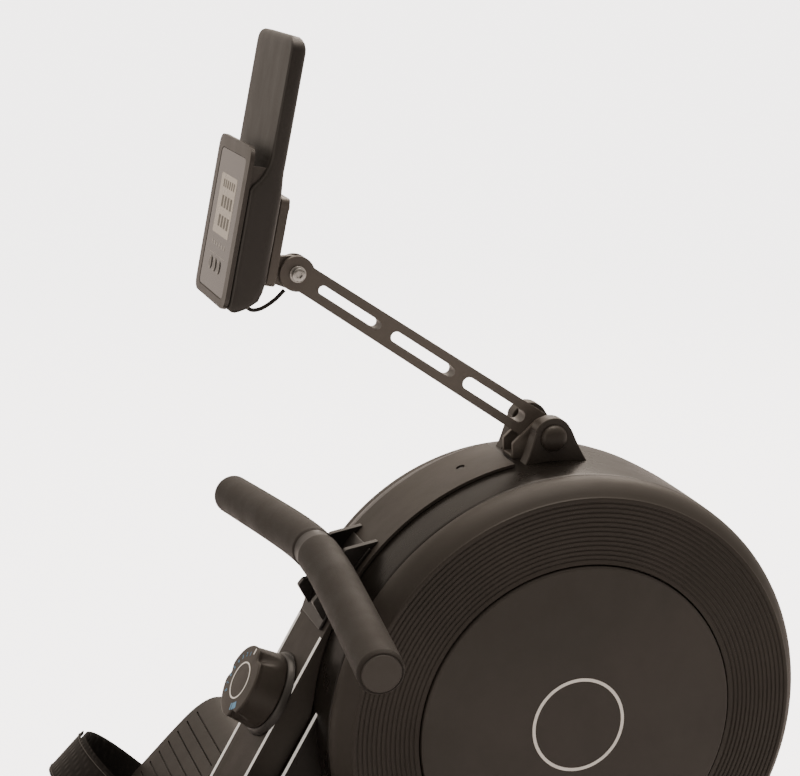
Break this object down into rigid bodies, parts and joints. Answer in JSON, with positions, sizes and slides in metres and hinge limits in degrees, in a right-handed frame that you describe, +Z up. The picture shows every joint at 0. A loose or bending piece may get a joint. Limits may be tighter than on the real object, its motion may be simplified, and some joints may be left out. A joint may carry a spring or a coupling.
{
  "type": "rowing machine",
  "caption": "Folding magnetic rowing machine with a round flywheel housing, swinging console, pull handle on a strap, foot plates and a sliding seat on a rail.",
  "frame": {"origin": "on the floor, under the middle of the overall box", "axes": "+Z up, +X towards the flywheel end (the user faces +X), +Y to the user's left"},
  "size_m": [1.808, 0.5, 0.8794],
  "materials": {
    "frame_paint": "satin black powder coat",
    "black_plastic": "fine texture, satin",
    "cover_plastic": "fine texture, satin",
    "gloss_black": "glossy",
    "soft_grip": "soft foam, matt",
    "bright_steel": "plated",
    "rail_aluminium": "brushed, clear anodised",
    "flywheel_iron": "machined rim",
    "black_rubber": "matt",
    "belt_rubber": "matt",
    "webbing": "woven nylon",
    "seat_cover": "grained synthetic",
    "screen_glass": "dark tinted"
  },
  "bodies": {
    "frame": {"base_beam": "frame_paint", "axle_plate_right": "frame_paint", "axle_plate_left": "frame_paint", "console_post": "frame_paint", "front_stabiliser": "frame_paint", "front_cap_right": "black_rubber", "front_cap_left": "black_rubber", "mid_support": "frame_paint", "shell_right": "black_plastic", "shell_left": "black_plastic", "column_cover": "cover_plastic", "side_cover_right": "cover_plastic", "side_cover_left": "cover_plastic", "side_disc_right": "cover_plastic", "side_disc_left": "cover_plastic", "handle_cradle": "black_plastic", "flywheel_axle": "bright_steel", "drum_axle": "bright_steel", "drive_belt": "belt_rubber", "pedal_axle": "bright_steel", "fold_axle": "bright_steel", "pivot_cap_right": "black_plastic", "pivot_cap_left": "black_plastic", "knob_base": "black_plastic"},
    "flywheel": {"flywheel": "flywheel_iron"},
    "drum": {"strap_drum": "black_plastic"},
    "magnet": {"magnet_bracket": "bright_steel"},
    "knob": {"tension_knob": "cover_plastic"},
    "wheel_right": {"transport_wheel_right": "black_rubber"},
    "wheel_left": {"transport_wheel_left": "black_rubber"},
    "arm": {"console_arm": "frame_paint", "arm_pin": "bright_steel"},
    "console": {"console_bracket": "frame_paint", "console_housing": "black_plastic", "console_bezel": "gloss_black", "console_glass": "screen_glass", "console_cable": "black_rubber", "tilt_bolt": "bright_steel"},
    "button_left": {"console_button_left": "gloss_black"},
    "button_mid": {"console_button_mid": "gloss_black"},
    "button_right": {"console_button_right": "gloss_black"},
    "handle": {"handle_tube": "bright_steel", "handle_sleeve": "gloss_black", "grip_right": "soft_grip", "grip_left": "soft_grip", "pull_strap": "webbing"},
    "pedal_right": {"pedal_right": "cover_plastic", "foot_strap_right": "webbing"},
    "pedal_left": {"pedal_left": "cover_plastic", "foot_strap_left": "webbing"},
    "rail": {"rail": "rail_aluminium", "rail_end_cap": "black_plastic", "rear_leg": "frame_paint", "rear_foot_right": "black_rubber", "rear_foot_left": "black_rubber"},
    "clamp": {"fold_clamp_knob": "black_plastic"},
    "seat": {"seat_carriage": "frame_paint", "seat_pad": "seat_cover"},
    "roller_front": {"seat_roller_front": "black_plastic"},
    "roller_rear": {"seat_roller_rear": "black_plastic"}
  },
  "joints": [
    {"name": "arm_tilt", "type": "hinge", "parent": "frame", "child": "arm", "pos_m": [0.702, 0, 0.552], "axis": [0, 1, 0], "range_deg": [-25, 45]},
    {"name": "console_tilt", "type": "hinge", "parent": "arm", "child": "console", "pos_m": [0.49671, 0, 0.69468], "axis": [0, 1, 0], "range_deg": [-20, 30]},
    {"name": "press_left", "type": "slide", "parent": "console", "child": "button_left", "axis": [0.9799, 0, -0.1994], "range_m": [0, 0.0009], "stiffness_N_per_m": 400},
    {"name": "press_mid", "type": "slide", "parent": "console", "child": "button_mid", "axis": [0.9799, 0, -0.1994], "range_m": [0, 0.0009], "stiffness_N_per_m": 400},
    {"name": "press_right", "type": "slide", "parent": "console", "child": "button_right", "axis": [0.9799, 0, -0.1994], "range_m": [0, 0.0009], "stiffness_N_per_m": 400},
    {"name": "handle_pull", "type": "slide", "parent": "frame", "child": "handle", "axis": [-0.9976, 0, 0.0698], "range_m": [0, 1.1], "stiffness_N_per_m": 18, "springref_m": -0.6, "deforming": ["pull_strap"]},
    {"name": "drum_spin", "type": "hinge", "parent": "frame", "child": "drum", "pos_m": [0.596, 0, 0.35], "axis": [0, 1, 0], "continuous": true},
    {"name": "flywheel_spin", "type": "hinge", "parent": "frame", "child": "flywheel", "pos_m": [0.701, 0, 0.33], "axis": [0, 1, 0], "continuous": true},
    {"name": "knob_turn", "type": "hinge", "parent": "frame", "child": "knob", "pos_m": [0.4731, 0, 0.34727], "axis": [-0.866, 0, 0.5], "range_deg": [0, 280]},
    {"name": "magnet_swing", "type": "hinge", "parent": "frame", "child": "magnet", "pos_m": [0.86435, 0, 0.29528], "axis": [0, 1, 0], "range_deg": [0, 2.3]},
    {"name": "pedal_turn_right", "type": "hinge", "parent": "frame", "child": "pedal_right", "pos_m": [0.376, 0, 0.161], "axis": [0, 1, 0], "range_deg": [0, 18]},
    {"name": "pedal_turn_left", "type": "hinge", "parent": "frame", "child": "pedal_left", "pos_m": [0.376, 0, 0.161], "axis": [0, 1, 0], "range_deg": [0, 18]},
    {"name": "rail_fold", "type": "hinge", "parent": "frame", "child": "rail", "pos_m": [0.171, 0, 0.165], "axis": [0, 1, 0], "range_deg": [0, 78]},
    {"name": "clamp_turn", "type": "hinge", "parent": "frame", "child": "clamp", "pos_m": [0.189, 0, 0.18], "axis": [0, -1, 0], "range_deg": [0, 1080]},
    {"name": "seat_slide", "type": "slide", "parent": "rail", "child": "seat", "axis": [1, 0, 0], "range_m": [-0.48, 0.34]},
    {"name": "roller_spin_front", "type": "hinge", "parent": "seat", "child": "roller_front", "pos_m": [-0.251, 0, 0.2113], "axis": [0, 1, 0], "continuous": true},
    {"name": "roller_spin_rear", "type": "hinge", "parent": "seat", "child": "roller_rear", "pos_m": [-0.347, 0, 0.2113], "axis": [0, 1, 0], "continuous": true},
    {"name": "wheel_spin_right", "type": "hinge", "parent": "frame", "child": "wheel_right", "pos_m": [0.811, 0, 0.033], "axis": [0, 1, 0], "continuous": true},
    {"name": "wheel_spin_left", "type": "hinge", "parent": "frame", "child": "wheel_left", "pos_m": [0.811, 0, 0.033], "axis": [0, 1, 0], "continuous": true}
  ],
  "couplings": [
    {"joint": "drum_spin", "follows": "handle_pull", "rad_per_m": -39.68},
    {"joint": "magnet_swing", "follows": "knob_turn", "ratio": 0.00785},
    {"joint": "roller_spin_front", "follows": "seat_slide", "rad_per_m": 90.909},
    {"joint": "roller_spin_rear", "follows": "seat_slide", "rad_per_m": 90.909}
  ]
}
